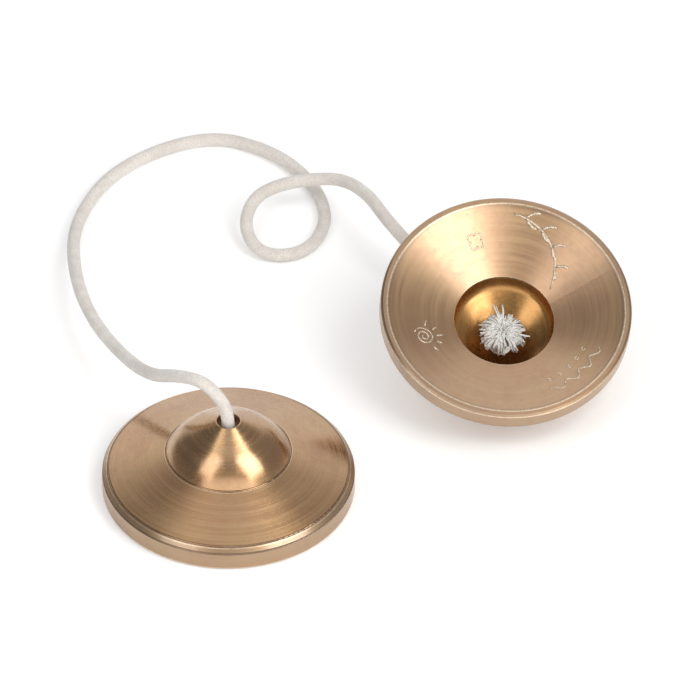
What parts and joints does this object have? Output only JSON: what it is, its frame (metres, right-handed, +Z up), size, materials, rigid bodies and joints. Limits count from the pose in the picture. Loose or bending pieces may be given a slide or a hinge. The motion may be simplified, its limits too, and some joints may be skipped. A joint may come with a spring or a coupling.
{
  "type": "finger cymbals",
  "caption": "Thick domed bronze finger cymbals joined by a cotton cord that is knotted and frayed inside each cup.",
  "frame": {"origin": "on the floor, below the middle of the two cymbals' joint box", "axes": "+Z up, square to the left cymbal's rim; +X to the right along the pair, +Y to the back, where the cord lies"},
  "size_m": [0.1579, 0.1829, 0.0384],
  "materials": {
    "bronze": "satin, turned on a lathe, with a polished hollow",
    "cotton": "soft unbleached cotton"
  },
  "bodies": {
    "cord": {"cord": "cotton"},
    "left_end": {"left_knot": "cotton", "left_frayed_end": "cotton"},
    "left_cymbal": {"left_cymbal": "bronze"},
    "right_end": {"right_knot": "cotton", "right_frayed_end": "cotton"},
    "right_cymbal": {"right_cymbal": "bronze"}
  },
  "joints": [
    {"name": "left_spin", "type": "hinge", "parent": "cord", "child": "left_end", "pos_m": [-0.03858, -0.02252, 0.02285], "axis": [0, 0, 1], "continuous": true},
    {"name": "left_swing", "type": "hinge", "parent": "left_end", "child": "left_cymbal", "pos_m": [-0.03858, -0.02252, 0.02285], "axis": [-0.866, 0.5, 0], "range_deg": [-15, 15]},
    {"name": "right_spin", "type": "hinge", "parent": "cord", "child": "right_end", "pos_m": [0.03699, 0.03044, 0.0051], "axis": [-0.0756, 0.3353, -0.9391], "continuous": true},
    {"name": "right_swing", "type": "hinge", "parent": "right_end", "child": "right_cymbal", "pos_m": [0.03699, 0.03044, 0.0051], "axis": [0.9755, 0.2198, 0], "range_deg": [-15, 15]}
  ]
}
